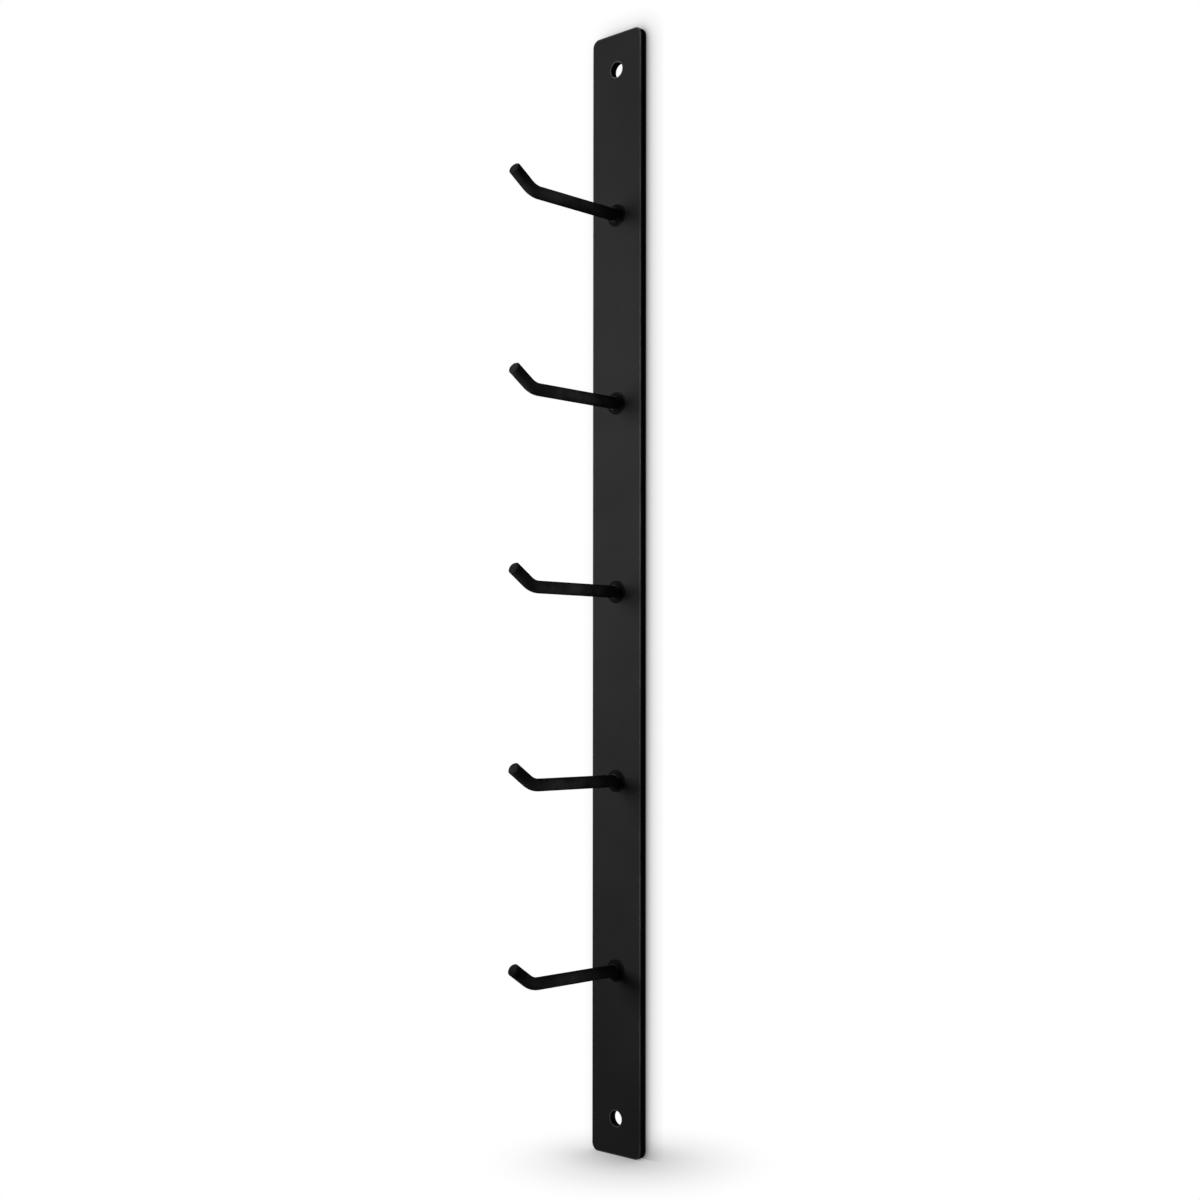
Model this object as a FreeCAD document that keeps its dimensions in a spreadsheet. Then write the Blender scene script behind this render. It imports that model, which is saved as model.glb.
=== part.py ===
import FreeCAD, Part
import math
import os
import Sketcher

# A wall rack for billiard cues: one flat steel bar, five bent round pegs and the welds that hold them.
# The bar's back lies on the wall in the plane y = 0, the pegs stand out towards -Y, and +Z is up.
# The origin is the middle of the bar's back face. Sizes are in millimetres.

PEG_COUNT = 5
FULL_TURN = 360
QUARTER_TURN = 90

# How far a solid's volume may be from what its sizes say, as a share of it
CUT_TOLERANCE = 0.01
ROD_TOLERANCE = 0.001

# The driving sizes, each with the word that names it in the sheet
SIZES = [
    ("plate_length", 862.0, "length of the flat bar"),
    ("plate_width", 50.0, "width of the flat bar"),
    ("plate_thickness", 6.0, "thickness of the flat bar"),
    ("corner_radius", 6.0, "radius of the bar's four corners seen from the front"),
    ("edge_chamfer", 0.4, "chamfer along the bar's front and back edges"),
    ("wall_hole_diameter", 12.0, "plain hole for a wall screw"),
    ("wall_hole_inset", 28.0, "from each end of the bar to the centre of its wall hole"),
    ("peg_pitch", 145.0, "from one peg to the next"),
    ("rod_diameter", 9.5, "round rod of the pegs"),
    ("peg_run", 84.0, "straight run of a peg from the bar's front to its bend"),
    ("bend_radius", 20.5, "radius of the bend at the rod's centreline"),
    ("bend_angle", 34.0, "how far the end of a peg turns up, in degrees"),
    ("tip_length", 17.5, "straight end of a peg past its bend"),
    ("tip_chamfer", 0.9, "chamfer of the rim at a peg's end"),
    ("fit_clearance", 0.1, "radial clearance of the rod in the bar and in its weld bead"),
    ("bead_leg", 4.0, "how far the front weld bead spreads over the bar, from the rod"),
    ("bead_height", 3.6, "how far the front weld bead climbs along the rod"),
    ("bead_step", 0.7, "height of the step at the rim of the front weld bead"),
    ("plug_depth", 1.5, "depth of the countersink and plug weld in the bar's back"),
]

doc = FreeCAD.newDocument("cue_rack")


def add_sheet():
    """Write each driving size into the sheet, under its own name."""
    cells = doc.addObject("Spreadsheet::Sheet", "Sizes")
    for row, (alias, value, note) in enumerate(SIZES, start=1):
        cells.set("A%d" % row, alias)
        cells.set("B%d" % row, str(value))
        cells.set("C%d" % row, note)
        cells.setAlias("B%d" % row, alias)
    doc.recompute()
    return cells


sheet = add_sheet()


def size(alias):
    """A driving size as a plain number, for the first guess of a sketch."""
    return float(sheet.get(alias))


def point(x, y):
    return FreeCAD.Vector(x, y, 0)


def origin_plane(body, role):
    """One of a body's own three planes."""
    for feature in body.Origin.OriginFeatures:
        if feature.Role == role:
            return feature
    raise ValueError("no plane %s in %s" % (role, body.Label))


def add_sketch(body, name, role):
    """A sketch on one of the body's own planes."""
    sketch = body.newObject("Sketcher::SketchObject", name)
    sketch.AttachmentSupport = (origin_plane(body, role), [""])
    sketch.MapMode = "FlatFace"
    return sketch


def bind(sketch, name, expression, *constraint):
    """A dimension of a sketch that follows the sheet."""
    index = sketch.addConstraint(Sketcher.Constraint(*constraint))
    sketch.renameConstraint(index, name)
    sketch.setExpression("Constraints." + name, expression)


def closed_outline(sketch, corners):
    """Straight lines from corner to corner and back to the first one."""
    count = len(corners)
    for index, corner in enumerate(corners):
        following = corners[(index + 1) % count]
        sketch.addGeometry(Part.LineSegment(point(*corner), point(*following)), False)
    for index in range(count):
        sketch.addConstraint(Sketcher.Constraint("Coincident", index, 2, (index + 1) % count, 1))


def peg_height(number):
    """How many pitches peg number 1, 2, 3... stands above the middle of the bar."""
    return (PEG_COUNT + 1) / 2 - number


def edge_names(feature, wanted):
    """The names of the feature's edges that pass the test."""
    return ["Edge%d" % index for index, edge in enumerate(feature.Shape.Edges, start=1) if wanted(edge)]


def check_cut(before, after, expected, what):
    """A cut that points away from the solid removes nothing, so what it removed is compared."""
    removed = before.Shape.Volume - after.Shape.Volume
    if abs(removed - expected) > CUT_TOLERANCE * expected:
        raise ValueError("%s removed %.1f mm3 instead of %.1f" % (what, removed, expected))


# The flat bar, with its two wall holes and the five holes that the pegs are set in

def add_bar_blank(body):
    """A plain rectangle of bar, as cut to length, with its corners rounded and its edges chamfered."""
    sketch = add_sketch(body, "BarOutline", "XZ_Plane")
    half_width = size("plate_width") / 2
    half_length = size("plate_length") / 2
    closed_outline(sketch, [(-half_width, -half_length), (half_width, -half_length),
                            (half_width, half_length), (-half_width, half_length)])
    for index in (0, 2):
        sketch.addConstraint(Sketcher.Constraint("Horizontal", index))
    for index in (1, 3):
        sketch.addConstraint(Sketcher.Constraint("Vertical", index))
    sketch.addConstraint(Sketcher.Constraint("Symmetric", 0, 1, 2, 1, -1, 1))
    bind(sketch, "width", "Sizes.plate_width", "DistanceX", 0, 1, 0, 2, 2 * half_width)
    bind(sketch, "length", "Sizes.plate_length", "DistanceY", 1, 1, 1, 2, 2 * half_length)
    pad = body.newObject("PartDesign::Pad", "Bar")
    pad.Profile = sketch
    pad.setExpression("Length", "Sizes.plate_thickness")
    doc.recompute()

    corners = body.newObject("PartDesign::Fillet", "Corners")
    corners.Base = (pad, edge_names(pad, lambda edge: edge.BoundBox.YLength > size("plate_thickness") / 2))
    corners.setExpression("Radius", "Sizes.corner_radius")
    doc.recompute()

    eased = body.newObject("PartDesign::Chamfer", "EasedEdges")
    eased.Base = (corners, edge_names(corners, lambda edge: edge.BoundBox.YLength < size("edge_chamfer") / 2))
    eased.setExpression("Size", "Sizes.edge_chamfer")
    doc.recompute()
    return eased


def add_wall_holes(body, blank):
    """One plain hole near each end of the bar, for the screws that hold it to the wall."""
    sketch = add_sketch(body, "WallHoles", "XZ_Plane")
    radius = size("wall_hole_diameter") / 2
    height = size("plate_length") / 2 - size("wall_hole_inset")
    for side in (1, -1):
        sketch.addGeometry(Part.Circle(point(0, side * height), FreeCAD.Vector(0, 0, 1), radius), False)
    sketch.addConstraint(Sketcher.Constraint("PointOnObject", 0, 3, -2))
    sketch.addConstraint(Sketcher.Constraint("Symmetric", 0, 3, 1, 3, -1, 1))
    sketch.addConstraint(Sketcher.Constraint("Equal", 0, 1))
    bind(sketch, "diameter", "Sizes.wall_hole_diameter", "Diameter", 0, 2 * radius)
    spacing = "Sizes.plate_length - 2 * Sizes.wall_hole_inset"
    bind(sketch, "spacing", spacing, "DistanceY", 1, 3, 0, 3, 2 * height)
    pocket = body.newObject("PartDesign::Pocket", "WallHolesCut")
    pocket.Profile = sketch
    pocket.Type = "ThroughAll"
    pocket.Reversed = True
    doc.recompute()
    check_cut(blank, pocket, 2 * math.pi * radius ** 2 * size("plate_thickness"), "wall holes")
    return pocket


def add_peg_holes(body, drilled):
    """A hole for each peg, countersunk at the back for its plug weld: one turned cut, repeated upwards."""
    sketch = add_sketch(body, "PegHole", "YZ_Plane")
    lowest = peg_height(PEG_COUNT)
    sketch.setExpression(".AttachmentOffset.Base.y", "Sizes.peg_pitch * %s" % lowest)
    thickness = size("plate_thickness")
    radius = size("rod_diameter") / 2 + size("fit_clearance")
    depth = size("plug_depth")
    closed_outline(sketch, [(0, 0), (0, radius + depth), (-depth, radius), (-thickness, radius), (-thickness, 0)])
    sketch.addConstraint(Sketcher.Constraint("Coincident", 0, 1, -1, 1))
    sketch.addConstraint(Sketcher.Constraint("Vertical", 0))
    sketch.addConstraint(Sketcher.Constraint("Horizontal", 2))
    sketch.addConstraint(Sketcher.Constraint("Vertical", 3))
    sketch.addConstraint(Sketcher.Constraint("Horizontal", 4))
    hole_radius = "Sizes.rod_diameter / 2 + Sizes.fit_clearance"
    bind(sketch, "radius", hole_radius, "DistanceY", 3, 2, 3, 1, radius)
    bind(sketch, "mouth", hole_radius + " + Sizes.plug_depth", "DistanceY", 0, 1, 0, 2, radius + depth)
    bind(sketch, "depth", "Sizes.plug_depth", "DistanceX", 2, 1, 0, 2, depth)
    bind(sketch, "thickness", "Sizes.plate_thickness", "DistanceX", 3, 2, 0, 1, thickness)
    groove = body.newObject("PartDesign::Groove", "PegHoleCut")
    groove.Profile = sketch
    groove.ReferenceAxis = (sketch, ["H_Axis"])
    groove.Angle = FULL_TURN
    doc.recompute()
    mouth = radius + depth
    straight = math.pi * radius ** 2 * (thickness - depth)
    cone = math.pi * depth * (radius ** 2 + radius * mouth + mouth ** 2) / 3
    check_cut(drilled, groove, straight + cone, "peg hole")

    row = body.newObject("PartDesign::LinearPattern", "PegHoleRow")
    row.Originals = [groove]
    row.Direction = (sketch, ["V_Axis"])
    row.Occurrences = PEG_COUNT
    row.setExpression("Length", "Sizes.peg_pitch * %d" % (PEG_COUNT - 1))
    body.Tip = row
    doc.recompute()
    check_cut(drilled, row, PEG_COUNT * (straight + cone), "row of peg holes")


def add_back_plate():
    """The whole bar: the blank, then the wall holes, then the peg holes."""
    body = doc.addObject("PartDesign::Body", "back_plate")
    blank = add_bar_blank(body)
    drilled = add_wall_holes(body, blank)
    add_peg_holes(body, drilled)
    return body


# A peg: one length of round rod, set through the bar at one end and bent upwards near the other

def add_rod_path(body):
    """The rod's centreline: a straight run out from the bar, a tangent bend and a straight tip."""
    sketch = add_sketch(body, "RodPath", "YZ_Plane")
    run = size("plate_thickness") - size("plug_depth") + size("peg_run")
    radius = size("bend_radius")
    angle = math.radians(size("bend_angle"))
    start_angle = math.radians(FULL_TURN - QUARTER_TURN)
    centre = point(-run, radius)
    bend_end = point(-run - radius * math.sin(angle), radius - radius * math.cos(angle))
    tip_step = point(-size("tip_length") * math.cos(angle), size("tip_length") * math.sin(angle))
    bend = Part.ArcOfCircle(Part.Circle(centre, FreeCAD.Vector(0, 0, 1), radius), start_angle - angle, start_angle)
    sketch.addGeometry(Part.LineSegment(point(0, 0), point(-run, 0)), False)
    sketch.addGeometry(bend, False)
    sketch.addGeometry(Part.LineSegment(bend_end, bend_end + tip_step), False)
    sketch.addConstraint(Sketcher.Constraint("Coincident", 0, 1, -1, 1))
    sketch.addConstraint(Sketcher.Constraint("Horizontal", 0))
    sketch.addConstraint(Sketcher.Constraint("Tangent", 0, 2, 1, 2))
    sketch.addConstraint(Sketcher.Constraint("Tangent", 1, 1, 2, 1))
    run_in_bar = "Sizes.plate_thickness - Sizes.plug_depth + Sizes.peg_run"
    bind(sketch, "run", run_in_bar, "DistanceX", 0, 2, 0, 1, run)
    bind(sketch, "radius", "Sizes.bend_radius", "Radius", 1, radius)
    bind(sketch, "tip", "Sizes.tip_length", "Distance", 2, size("tip_length"))
    bind(sketch, "angle", "Sizes.bend_angle * 1 deg", "Angle", 2, 0, angle)
    return sketch


def add_peg(number):
    """A round rod swept along its path, with the rim of its tip chamfered."""
    body = doc.addObject("PartDesign::Body", "peg_%d" % number)
    path = add_rod_path(body)
    section = add_sketch(body, "RodSection", "XZ_Plane")
    rod_radius = size("rod_diameter") / 2
    section.addGeometry(Part.Circle(point(0, 0), FreeCAD.Vector(0, 0, 1), rod_radius), False)
    section.addConstraint(Sketcher.Constraint("Coincident", 0, 3, -1, 1))
    bind(section, "diameter", "Sizes.rod_diameter", "Diameter", 0, 2 * rod_radius)
    doc.recompute()

    rod = body.newObject("PartDesign::AdditivePipe", "Rod")
    rod.Profile = section
    rod.Spine = (path, ["Edge1", "Edge2", "Edge3"])
    doc.recompute()
    expected = math.pi * rod_radius ** 2 * path.Shape.Length
    if abs(rod.Shape.Volume - expected) > ROD_TOLERANCE * expected:
        raise ValueError("the rod's volume is not its section times its length")

    tip = path.Shape.Vertexes[-1].Point
    rim = body.newObject("PartDesign::Chamfer", "TipRim")
    rim.Base = (rod, edge_names(rod, lambda edge: edge.CenterOfMass.distanceToPoint(tip) < rod_radius / 2))
    rim.setExpression("Size", "Sizes.tip_chamfer")
    body.setExpression("Placement.Base.y", "-Sizes.plug_depth")
    body.setExpression("Placement.Base.z", "Sizes.peg_pitch * %s" % peg_height(number))
    return body


# The welds: a sloped bead round each peg at the bar's front, and a flush plug in the bar's back

def add_bead_section(body):
    """Half of a bead: a low step at its rim, a straight slope up to the rod, and the rod's side."""
    sketch = add_sketch(body, "BeadSection", "YZ_Plane")
    bore = size("rod_diameter") / 2 + size("fit_clearance")
    rim = size("rod_diameter") / 2 + size("bead_leg")
    step = size("bead_step")
    height = size("bead_height")
    closed_outline(sketch, [(0, bore), (0, rim), (-step, rim), (-height, bore)])
    sketch.addConstraint(Sketcher.Constraint("Vertical", 0))
    for index in (1, 3):
        sketch.addConstraint(Sketcher.Constraint("Horizontal", index))
    sketch.addConstraint(Sketcher.Constraint("PointOnObject", 0, 1, -2))
    bore_radius = "Sizes.rod_diameter / 2 + Sizes.fit_clearance"
    bind(sketch, "bore", bore_radius, "DistanceY", -1, 1, 0, 1, bore)
    bind(sketch, "rim", "Sizes.rod_diameter / 2 + Sizes.bead_leg", "DistanceY", -1, 1, 0, 2, rim)
    bind(sketch, "step", "Sizes.bead_step", "DistanceX", 1, 2, 1, 1, step)
    bind(sketch, "height", "Sizes.bead_height", "DistanceX", 3, 1, 3, 2, height)
    return sketch


def add_front_bead(number):
    """The half section turned round the peg's axis, against the bar's front."""
    body = doc.addObject("PartDesign::Body", "front_weld_%d" % number)
    sketch = add_bead_section(body)
    bead = body.newObject("PartDesign::Revolution", "Bead")
    bead.Profile = sketch
    bead.ReferenceAxis = (sketch, ["H_Axis"])
    bead.Angle = FULL_TURN
    body.setExpression("Placement.Base.y", "-Sizes.plate_thickness")
    body.setExpression("Placement.Base.z", "Sizes.peg_pitch * %s" % peg_height(number))
    return body


def add_rear_plug(number):
    """The weld that fills the countersink behind the rod's end, ground flush with the bar's back."""
    plug = doc.addObject("Part::Cone", "rear_weld_%d" % number)
    plug.setExpression("Radius1", "Sizes.rod_diameter / 2 + Sizes.plug_depth")
    plug.setExpression("Radius2", "Sizes.rod_diameter / 2")
    plug.setExpression("Height", "Sizes.plug_depth")
    plug.Placement = FreeCAD.Placement(point(0, 0), FreeCAD.Rotation(FreeCAD.Vector(1, 0, 0), QUARTER_TURN))
    plug.setExpression("Placement.Base.z", "Sizes.peg_pitch * %s" % peg_height(number))
    return plug


def add_rack():
    """Every piece of the rack; peg 1 and its welds are the topmost."""
    pieces = [add_back_plate()]
    for number in range(1, PEG_COUNT + 1):
        pieces.append(add_peg(number))
        pieces.append(add_front_bead(number))
        pieces.append(add_rear_plug(number))
    doc.recompute()
    return pieces


def check_model(pieces):
    """Stop before anything is written if a feature failed or a piece is not one sound solid."""
    for item in doc.Objects:
        if "Invalid" in item.State or "Error" in item.State:
            raise ValueError("%s did not build" % item.Label)
    for piece in pieces:
        if piece.Shape.isNull() or not piece.Shape.isValid() or len(piece.Shape.Solids) != 1:
            raise ValueError("%s is not one sound solid" % piece.Label)


rack_pieces = add_rack()
check_model(rack_pieces)
os.makedirs("parts", exist_ok=True)
for rack_piece in rack_pieces:
    rack_piece.Shape.exportStep("parts/%s.step" % rack_piece.Label)
    box = rack_piece.Shape.BoundBox
    print("%-16s %10.1f mm3  y %7.2f to %6.2f  z %8.2f to %8.2f" % (
        rack_piece.Label, rack_piece.Shape.Volume, box.YMin, box.YMax, box.ZMin, box.ZMax))
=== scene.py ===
import math

import bpy
from mathutils import Matrix, Vector


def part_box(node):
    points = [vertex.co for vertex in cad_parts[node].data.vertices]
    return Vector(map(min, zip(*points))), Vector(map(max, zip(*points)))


# The looks of a wall rack for cues: black powder-coated steel in a white studio.
# Lengths are in metres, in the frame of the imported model: front towards -Y, up +Z.

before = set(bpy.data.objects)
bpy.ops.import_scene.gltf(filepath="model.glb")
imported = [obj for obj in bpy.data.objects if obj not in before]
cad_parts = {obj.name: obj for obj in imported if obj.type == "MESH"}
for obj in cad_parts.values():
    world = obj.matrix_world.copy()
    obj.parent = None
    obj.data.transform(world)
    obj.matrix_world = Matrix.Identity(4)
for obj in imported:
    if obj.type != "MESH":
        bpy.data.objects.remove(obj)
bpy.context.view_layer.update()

PEGS = range(1, 6)
BAR_LOW, BAR_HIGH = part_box("back_plate")
BAR_FRONT = BAR_LOW.y
BAR_FOOT = BAR_LOW.z


# Camera: it stands to the right of the rack and looks a little up. The middle of the bar's front lies
# to the right of its line of sight by the side, and above it by the rise. The line of sight meets the
# photo at the axis pixel.

CAMERA_AZIMUTH = math.radians(43.11)
CAMERA_PITCH = math.radians(0.794)
CAMERA_ROLL = math.radians(0.052)
CAMERA_DISTANCE = 1.3495
CAMERA_SIDE = 0.0124
CAMERA_RISE = 0.0586
PHOTO_SIDE = 1200
FOCAL_PIXELS = 1757.3
SENSOR_MM = 36.0
AXIS_PIXEL_Y = 668.2


def add_camera():
    look = Vector((-math.sin(CAMERA_AZIMUTH) * math.cos(CAMERA_PITCH),
                   math.cos(CAMERA_AZIMUTH) * math.cos(CAMERA_PITCH),
                   math.sin(CAMERA_PITCH)))
    level = Vector((math.cos(CAMERA_AZIMUTH), math.sin(CAMERA_AZIMUTH), 0))
    upright = level.cross(look)
    right = math.cos(CAMERA_ROLL) * level + math.sin(CAMERA_ROLL) * upright
    up = math.cos(CAMERA_ROLL) * upright - math.sin(CAMERA_ROLL) * level
    place = Vector((0, BAR_FRONT, 0)) - look * CAMERA_DISTANCE - right * CAMERA_SIDE - up * CAMERA_RISE
    data = bpy.data.cameras.new("photo_camera")
    data.sensor_width = SENSOR_MM
    data.lens = FOCAL_PIXELS / PHOTO_SIDE * SENSOR_MM
    data.shift_y = (AXIS_PIXEL_Y - PHOTO_SIDE / 2) / PHOTO_SIDE
    camera = bpy.data.objects.new("photo_camera", data)
    turn = Matrix((right, up, -look)).transposed().to_4x4()
    camera.matrix_world = Matrix.Translation(place) @ turn
    bpy.context.scene.collection.objects.link(camera)
    bpy.context.scene.camera = camera


# Shader steps that the materials and the world share

WHOLE = (0, 1)
REVERSED = (1, 0)
NOISE_DETAIL = 2


def grey(level):
    return (level, level, level)


def new_material(name):
    material = bpy.data.materials.new(name)
    material.use_nodes = True
    material.node_tree.nodes.clear()
    return material, material.node_tree.nodes, material.node_tree.links


def show(nodes, links, surface):
    """Make this shader the surface of the material."""
    output = nodes.new("ShaderNodeOutputMaterial")
    links.new(surface, output.inputs["Surface"])


def noise(nodes, links, source, size):
    """Noise whose lumps are about this many metres across."""
    node = nodes.new("ShaderNodeTexNoise")
    node.inputs["Scale"].default_value = 1 / size
    node.inputs["Detail"].default_value = NOISE_DETAIL
    links.new(source, node.inputs["Vector"])
    return node.outputs["Fac"]


def spread(nodes, links, value, source, target, curve="LINEAR"):
    """Stretch a value from one range to another, and hold it inside."""
    node = nodes.new("ShaderNodeMapRange")
    node.interpolation_type = curve
    for name, number in zip(("From Min", "From Max", "To Min", "To Max"), (*source, *target)):
        node.inputs[name].default_value = number
    links.new(value, node.inputs["Value"])
    return node.outputs["Result"]


def combine(nodes, links, operation, first, second):
    """Arithmetic on two values."""
    node = nodes.new("ShaderNodeMath")
    node.operation = operation
    links.new(first, node.inputs[0])
    links.new(second, node.inputs[1])
    return node.outputs["Value"]


def mix_colours(nodes, links, factor, first, second):
    """Blend of two colours, each a socket or a plain colour."""
    node = nodes.new("ShaderNodeMix")
    node.data_type = "RGBA"
    links.new(factor, node.inputs["Factor"])
    colour_sockets = [socket for socket in node.inputs if socket.type == "RGBA"]
    for socket, colour in zip(colour_sockets, (first, second)):
        if isinstance(colour, tuple):
            socket.default_value = (*colour, 1)
        else:
            links.new(colour, socket)
    return [socket for socket in node.outputs if socket.type == "RGBA"][0]


def mix_shaders(nodes, links, factor, first, second):
    node = nodes.new("ShaderNodeMixShader")
    links.new(factor, node.inputs[0])
    links.new(first, node.inputs[1])
    links.new(second, node.inputs[2])
    return node.outputs["Shader"]


def bump(nodes, links, height, distance, strength, normal=None):
    """Bumps of this height, laid over another normal where one is given."""
    node = nodes.new("ShaderNodeBump")
    node.inputs["Distance"].default_value = distance
    node.inputs["Strength"].default_value = strength
    links.new(height, node.inputs["Height"])
    if normal:
        links.new(normal, node.inputs["Normal"])
    return node.outputs["Normal"]


def openness(nodes, links, reach, samples, facing=None):
    """How open a place is within this distance: 1 in the open, less in a corner or beside the object.

    It looks along the facing, or away from its own surface where none is given.
    """
    node = nodes.new("ShaderNodeAmbientOcclusion")
    node.samples = samples
    node.inputs["Distance"].default_value = reach
    if facing:
        direction = nodes.new("ShaderNodeCombineXYZ")
        for socket, part in zip(direction.inputs, facing):
            socket.default_value = part
        links.new(direction.outputs["Vector"], node.inputs["Normal"])
    return node.outputs["AO"]


def edge_finder(nodes, links, radius):
    """A mask that is 1 beside the edges, up to this distance: there a rounded normal turns away."""
    bevel = nodes.new("ShaderNodeBevel")
    bevel.samples = EDGE_SAMPLES
    bevel.inputs["Radius"].default_value = radius
    turn = nodes.new("ShaderNodeVectorMath")
    turn.operation = "DOT_PRODUCT"
    links.new(bevel.outputs["Normal"], turn.inputs[0])
    links.new(nodes.new("ShaderNodeNewGeometry").outputs["Normal"], turn.inputs[1])
    return spread(nodes, links, turn.outputs["Value"], EDGE_COSINES, WHOLE)


def seen_directly(nodes, links):
    """1 for rays that show the background: from the camera, from a glossy surface or through glass."""
    paths = nodes.new("ShaderNodeLightPath")
    seen = combine(nodes, links, "MAXIMUM", paths.outputs["Is Camera Ray"], paths.outputs["Is Glossy Ray"])
    return combine(nodes, links, "MAXIMUM", seen, paths.outputs["Is Transmission Ray"])


# The powder coat: sizes and heights of its grain and its orange peel, and for each mask the range of
# noise, of openness or of a cosine that it is stretched from. It has no specular reflection, because
# the white studio would light the rims of the rods, which are dead matte in the photo.

FINE_GRAIN = 0.0006
GRAIN_HEIGHT = 0.000006
GRAIN_STRENGTH = 0.5
SPECK_NOISE = (0.62, 0.85)
SPECK_SHARE = 0.4
SPECK_GAIN = 1.4
ORANGE_PEEL = 0.003
PEEL_HEIGHT = 0.00004
PEEL_NOISE = (0.3, 0.7)
ROUGHNESS = (0.56, 0.68)
CLOUD_NOISE = (0.35, 0.65)
# The edge tone is painted light: a painted highlight along the edges of the bar and the welds, and a
# painted dark rim on the pegs.
EDGE_PAINT_NOISE = (0.35, 0.6)
LEAST_EDGE_PAINT = 0.4
EDGE_COSINES = (0.995, 0.93)
EDGE_SAMPLES = 6
# Painted shade in corners: the coat turns near black where little light gets in.
CORNER_SHADE_OPENNESS = (0.35, 0.9)
CORNER_SAMPLES = 8
CORNER_SHADE_LEVEL = 0.002
SPECULAR_LEVEL = 0.0


def powder_coat(name, level, contrast, cloud, painted_edge_tone, edge, corner, peel):
    """Dead-matte black coat: clouds, fine specks, orange peel, edges of another tone that is painted light,
    and painted shade in corners.
    """
    material, nodes, links = new_material(name)
    place = nodes.new("ShaderNodeTexCoord").outputs["Object"]
    clouds = noise(nodes, links, place, cloud)
    grain = noise(nodes, links, place, FINE_GRAIN)
    lumps = noise(nodes, links, place, ORANGE_PEEL)

    darker = grey((1 - contrast) * level)
    lighter = grey((1 + contrast) * level)
    shade = mix_colours(nodes, links, spread(nodes, links, clouds, CLOUD_NOISE, WHOLE), darker, lighter)
    specks = spread(nodes, links, grain, SPECK_NOISE, (0, SPECK_SHARE))
    shade = mix_colours(nodes, links, specks, shade, grey(SPECK_GAIN * level))
    # Painted light on the edges: a lighter tone is a painted highlight, a darker one a painted dark rim.
    edge_paint_patches = spread(nodes, links, clouds, EDGE_PAINT_NOISE, (LEAST_EDGE_PAINT, 1))
    painted_edge_mask = combine(nodes, links, "MULTIPLY", edge_finder(nodes, links, edge), edge_paint_patches)
    shade = mix_colours(nodes, links, painted_edge_mask, shade, grey(painted_edge_tone))
    # Painted shade: the coat is darkened where a corner or the next piece closes it in.
    if corner:
        clear = openness(nodes, links, corner, CORNER_SAMPLES)
        clear = spread(nodes, links, clear, CORNER_SHADE_OPENNESS, WHOLE)
        shade = mix_colours(nodes, links, clear, grey(CORNER_SHADE_LEVEL), shade)

    coat = nodes.new("ShaderNodeBsdfPrincipled")
    links.new(shade, coat.inputs["Base Color"])
    links.new(spread(nodes, links, lumps, PEEL_NOISE, ROUGHNESS), coat.inputs["Roughness"])
    coat.inputs["Specular IOR Level"].default_value = SPECULAR_LEVEL
    peeled = bump(nodes, links, lumps, PEEL_HEIGHT, peel)
    links.new(bump(nodes, links, grain, GRAIN_HEIGHT, GRAIN_STRENGTH, peeled), coat.inputs["Normal"])
    show(nodes, links, coat.outputs["BSDF"])
    return material


def bar_coat():
    # The bar's light edge tone is a painted highlight along its edges.
    return powder_coat("bar_powder_coat", level=0.03, contrast=0.06, cloud=0.05,
                       painted_edge_tone=0.2, edge=0.0014, corner=None, peel=0.5)


# The pegs' strong clouds are a painted reflection: lighter patches along the rods.
def peg_coat():
    # The pegs' dark edge tone is a painted dark rim along their edges.
    return powder_coat("peg_powder_coat", level=0.027, contrast=0.35, cloud=0.014,
                       painted_edge_tone=0.006, edge=0.0007, corner=0.006, peel=0.3)


# The welds have the bar's coat made about three times darker: painted shade.
def weld_coat():
    # The welds' light edge tone is a painted highlight on their rims.
    return powder_coat("weld_powder_coat", level=0.01, contrast=0.3, cloud=0.004,
                       painted_edge_tone=0.07, edge=0.0009, corner=0.003, peel=1.0)


def dress(node, material):
    """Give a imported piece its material."""
    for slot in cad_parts[node].material_slots:
        slot.material = material


def dress_rack():
    dress("back_plate", bar_coat())
    for_pegs = peg_coat()
    for_welds = weld_coat()
    for number in PEGS:
        dress("peg_%d" % number, for_pegs)
        dress("front_weld_%d" % number, for_welds)
        dress("rear_weld_%d" % number, for_welds)


# The stage: a white floor, and behind the bar a clear wall that only shows the bar's soft shadow.
# The pool is the floor's broad shadow round the bar's foot. Its fade is by the distance from its middle
# and starts below zero, so even the middle isn't at the full depth.

FLOOR_SIZE = 12.0
FLOOR_TONE = (0.5, 0.5, 0.5, 1)
CONTACT_REACH = 0.05
CONTACT_DEPTH = 0.7
POOL_CENTRE = (0.019, -0.0094, BAR_FOOT)
POOL_FADE = (-0.0547, 0.1185)
POOL_DEPTH = 0.51
SHADOW_SAMPLES = 24
UPWARDS = (0, 0, 1)
WALL_GAP = 0.0006
WALL_MARGIN = 0.1
WALL_OVERLAP = 0.01
WALL_REACH = 0.018
WALL_DEPTH = 1.29
WALL_OPEN_CELL = (1, 0)
SHADE_ANGLE = math.radians(12)
TO_THE_LEFT = (-math.sin(SHADE_ANGLE), -math.cos(SHADE_ANGLE), 0)
BLACK = (0, 0, 0, 1)


def shadow_pool(nodes, links):
    """How light the floor is in the broad soft shadow, by the distance from the pool's middle."""
    apart = nodes.new("ShaderNodeVectorMath")
    apart.operation = "DISTANCE"
    links.new(nodes.new("ShaderNodeNewGeometry").outputs["Position"], apart.inputs[0])
    apart.inputs[1].default_value = POOL_CENTRE
    return spread(nodes, links, apart.outputs["Value"], POOL_FADE, (1 - POOL_DEPTH, 1), "SMOOTHSTEP")


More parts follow.
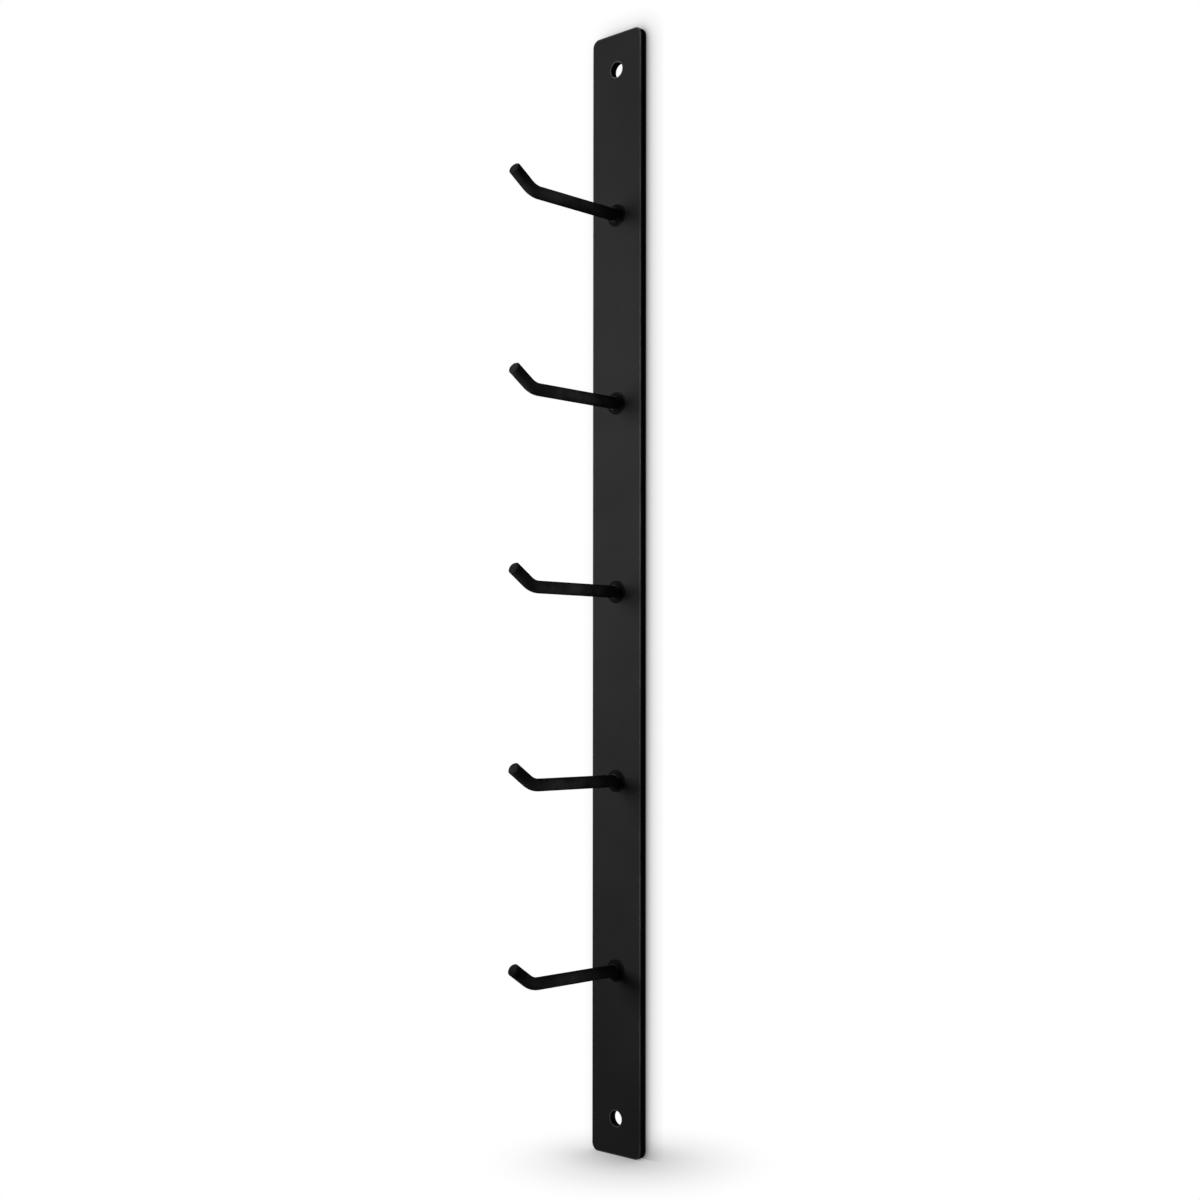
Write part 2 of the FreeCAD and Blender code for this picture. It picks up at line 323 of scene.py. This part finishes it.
def floor_white():
    """White with a soft shadow round the foot where it is seen, and dull grey for all other light."""
    material, nodes, links = new_material("floor_white")
    contact = openness(nodes, links, CONTACT_REACH, SHADOW_SAMPLES, UPWARDS)
    contact = spread(nodes, links, contact, WHOLE, (1 - CONTACT_DEPTH, 1))
    glow = nodes.new("ShaderNodeEmission")
    links.new(combine(nodes, links, "MULTIPLY", contact, shadow_pool(nodes, links)), glow.inputs["Color"])
    dull = nodes.new("ShaderNodeBsdfDiffuse")
    dull.inputs["Color"].default_value = FLOOR_TONE
    seen = seen_directly(nodes, links)
    show(nodes, links, mix_shaders(nodes, links, seen, dull.outputs["BSDF"], glow.outputs["Emission"]))
    material.cycles.emission_sampling = "NONE"
    return material


def wall_shadow():
    """Clear from behind, and from in front apart from the shadow that light from the left throws."""
    material, nodes, links = new_material("wall_shadow")
    shade = openness(nodes, links, WALL_REACH, SHADOW_SAMPLES, TO_THE_LEFT)
    shade = spread(nodes, links, shade, WHOLE, (WALL_DEPTH, 0))
    behind = nodes.new("ShaderNodeNewGeometry").outputs["Backfacing"]
    shade = combine(nodes, links, "MULTIPLY", shade, spread(nodes, links, behind, WHOLE, REVERSED))
    shade = combine(nodes, links, "MULTIPLY", shade, seen_directly(nodes, links))
    clear = nodes.new("ShaderNodeBsdfTransparent")
    dark = nodes.new("ShaderNodeBsdfTransparent")
    dark.inputs["Color"].default_value = BLACK
    show(nodes, links, mix_shaders(nodes, links, shade, clear.outputs["BSDF"], dark.outputs["BSDF"]))
    return material


def add_plane(name, corners, faces, material):
    mesh = bpy.data.meshes.new(name)
    mesh.from_pydata(corners, [], faces)
    mesh.materials.append(material)
    plane = bpy.data.objects.new(name, mesh)
    bpy.context.scene.collection.objects.link(plane)
    return plane


def add_floor():
    half = FLOOR_SIZE / 2
    square = ((-half, -half), (half, -half), (half, half), (-half, half))
    floor = add_plane("floor", [(x, y, BAR_FOOT) for x, y in square], [(0, 1, 2, 3)], floor_white())
    floor.visible_shadow = False


def add_wall():
    """A grid of cells that is left open behind the bar, so that white shows through its holes."""
    columns = (BAR_LOW.x - WALL_MARGIN, BAR_LOW.x + WALL_OVERLAP,
               BAR_HIGH.x - WALL_OVERLAP, BAR_HIGH.x + WALL_MARGIN)
    rows = (BAR_FOOT, BAR_HIGH.z - WALL_OVERLAP, BAR_HIGH.z + WALL_MARGIN)
    faces = []
    for row in range(len(rows) - 1):
        for column in range(len(columns) - 1):
            if (column, row) != WALL_OPEN_CELL:
                below = row * len(columns) + column
                above = below + len(columns)
                faces.append((below, below + 1, above + 1, above))
    wall = add_plane("wall", [(x, WALL_GAP, z) for z in rows for x in columns], faces, wall_shadow())
    wall.visible_shadow = False
    wall.visible_diffuse = False


# Light: the world, and lamps with their width and height, the spread of their beams in degrees, and watts

WHITE = (1, 1, 1, 1)
AMBIENT = 0.04
KEY_PLACE = (-0.6, -1.5, 0.25)
KEY_AIM = (0, 0, 0.14)
KEY_SIZE = (1.1, 0.8)
KEY_BEAM = 43
KEY_WATTS = 3.15
BACK_PLACE = (-0.4, 1.6, 0.2)
BACK_AIM = (0, 0, 0)
BACK_SIZE = (0.3, 0.3)
BACK_BEAM = 60
BACK_WATTS = 1.5
SIDE_DISTANCE = 1.0
SIDE_DEPTH = -0.068
SIDE_SIZE = (0.03, 0.1)
SIDE_BEAM = 5.8
SIDE_WATTS = {1: 0.0068, 2: 0.0078, 3: 0.0078, 4: 0.006, 5: 0.0052}


def white_world():
    """White as a background and in reflections, and a faint light from all round for the rest."""
    world = bpy.data.worlds.new("studio")
    bpy.context.scene.world = world
    world.use_nodes = True
    nodes = world.node_tree.nodes
    links = world.node_tree.links
    nodes.clear()
    background = nodes.new("ShaderNodeBackground")
    background.inputs["Color"].default_value = WHITE
    level = spread(nodes, links, seen_directly(nodes, links), WHOLE, (AMBIENT, 1))
    links.new(level, background.inputs["Strength"])
    world.cycles.sampling_method = "NONE"
    output = nodes.new("ShaderNodeOutputWorld")
    links.new(background.outputs["Background"], output.inputs["Surface"])


def add_softbox(name, place, aim, size, beam, watts):
    """A rectangular area light that faces the point it is aimed at, upright."""
    data = bpy.data.lights.new(name, "AREA")
    data.shape = "RECTANGLE"
    data.size, data.size_y = size
    data.spread = math.radians(beam)
    data.energy = watts
    lamp = bpy.data.objects.new(name, data)
    lamp.location = place
    direction = Vector(aim) - Vector(place)
    lamp.rotation_euler = direction.to_track_quat("-Z", "Y").to_euler()
    bpy.context.scene.collection.objects.link(lamp)


def add_lights():
    """A soft key in front and to the left, a lamp behind, and at the right one narrow beam for each peg."""
    add_softbox("key", KEY_PLACE, KEY_AIM, KEY_SIZE, KEY_BEAM, KEY_WATTS)
    add_softbox("back", BACK_PLACE, BACK_AIM, BACK_SIZE, BACK_BEAM, BACK_WATTS)
    for number in PEGS:
        low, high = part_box("front_weld_%d" % number)
        level = (low.z + high.z) / 2
        place = (SIDE_DISTANCE, SIDE_DEPTH, level)
        aim = (0, SIDE_DEPTH, level)
        add_softbox("side_%d" % number, place, aim, SIDE_SIZE, SIDE_BEAM, SIDE_WATTS[number])


add_camera()
dress_rack()
add_floor()
add_wall()
white_world()
add_lights()
bpy.context.scene.view_settings.view_transform = "Standard"

bpy.context.view_layer.update()
